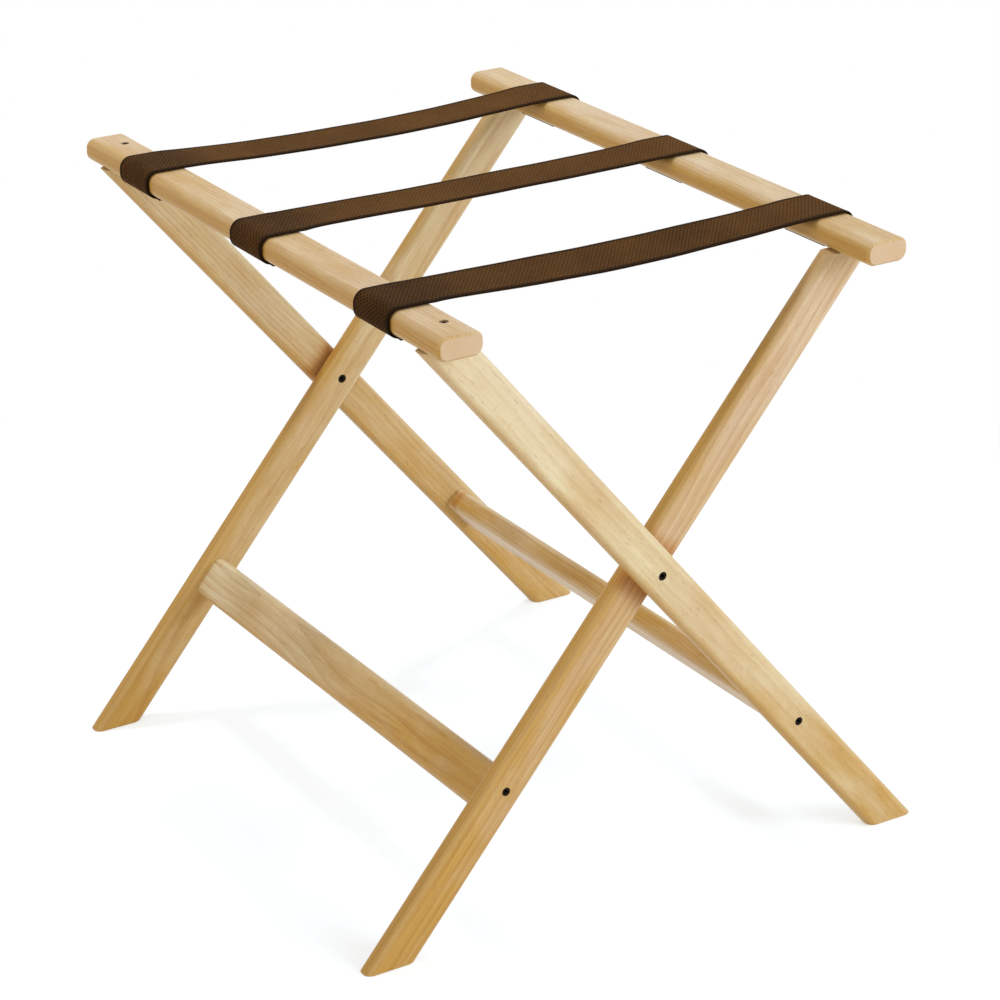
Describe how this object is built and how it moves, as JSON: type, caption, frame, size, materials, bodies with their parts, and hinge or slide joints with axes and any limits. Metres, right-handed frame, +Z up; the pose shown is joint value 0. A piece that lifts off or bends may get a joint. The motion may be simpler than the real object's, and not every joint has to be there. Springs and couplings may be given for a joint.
{
  "type": "luggage rack",
  "caption": "Folding hardwood luggage bench: crossed leg frames on sleeve-nut pivots, with brown webbing straps over the rails.",
  "frame": {"origin": "on the floor, under the middle of the open bench", "axes": "+Z up, Y along the rails with the front at -Y, X across them from the outer frame's rail at -X to the inner frame's rail at +X"},
  "size_m": [0.4988, 0.564, 0.5103],
  "materials": {
    "hardwood": "clear satin lacquer",
    "webbing": "woven brown webbing",
    "blackened_steel": "black oxide",
    "staple_steel": "galvanised wire",
    "nylon": "natural nylon"
  },
  "bodies": {
    "outer_frame": {"rail_outer": "hardwood", "leg_outer_front": "hardwood", "leg_outer_back": "hardwood", "stretcher_outer": "hardwood", "rail_screws_outer": "blackened_steel", "stretcher_screws_outer": "blackened_steel", "strap_staples_outer": "staple_steel", "pivot_screw_front": "blackened_steel", "pivot_screw_back": "blackened_steel", "pivot_sleeve_front": "blackened_steel", "pivot_sleeve_back": "blackened_steel", "pivot_washer_front": "nylon", "pivot_washer_back": "nylon", "strap_front": "webbing", "strap_middle": "webbing", "strap_back": "webbing"},
    "inner_frame": {"rail_inner": "hardwood", "leg_inner_front": "hardwood", "leg_inner_back": "hardwood", "stretcher_inner": "hardwood", "stretcher_screws_inner": "blackened_steel", "strap_staples_inner": "staple_steel"}
  },
  "joints": [
    {"name": "fold", "type": "hinge", "parent": "outer_frame", "child": "inner_frame", "pos_m": [0, 0, 0.27381], "axis": [0, -1, 0], "range_deg": [0, 70], "deforming": ["strap_front", "strap_middle", "strap_back"]}
  ]
}
